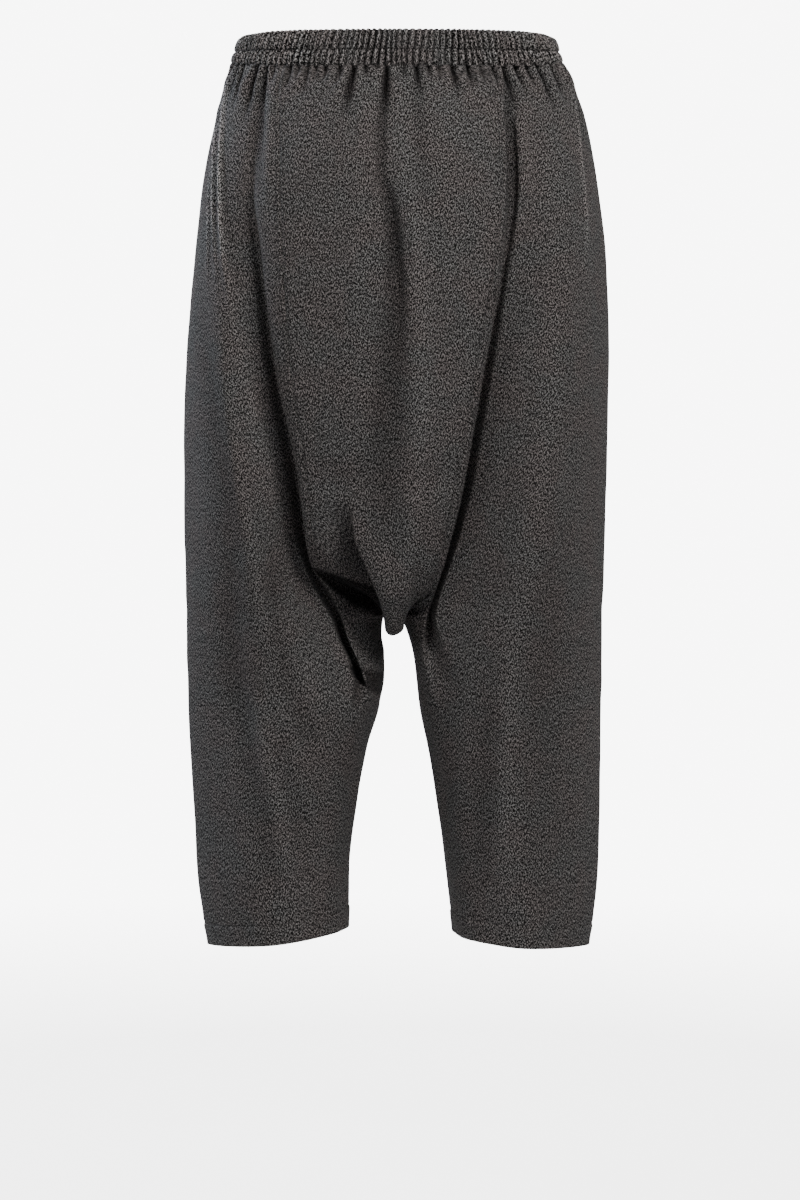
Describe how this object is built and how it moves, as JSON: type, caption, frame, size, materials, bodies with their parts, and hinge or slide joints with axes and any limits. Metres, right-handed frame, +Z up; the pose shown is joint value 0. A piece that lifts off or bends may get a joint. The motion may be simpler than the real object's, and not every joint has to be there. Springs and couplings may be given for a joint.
{
  "type": "balloon trousers",
  "caption": "Pull-on balloon trousers with a gathered elastic waistband, a wide centre back panel, a low rounded crotch and tapered cropped legs, held in their worn shape.",
  "frame": {"origin": "the middle of the waist ring, level with the stitched line between the waistband's two channels", "axes": "+Z up along the wearer's height, +Y out of the garment's back, -Y out of its front, +X to the wearer's left"},
  "size_m": [0.413, 0.2923, 0.8842],
  "materials": {
    "trouser_cloth": "matt flecked charcoal woven cloth",
    "casing_cloth": "the same flecked charcoal cloth, gathered on elastic"
  },
  "bodies": {
    "root": {"waistband": "casing_cloth", "back_centre": "trouser_cloth", "back_left": "trouser_cloth", "back_right": "trouser_cloth", "front_left": "trouser_cloth", "front_right": "trouser_cloth"}
  },
  "joints": []
}
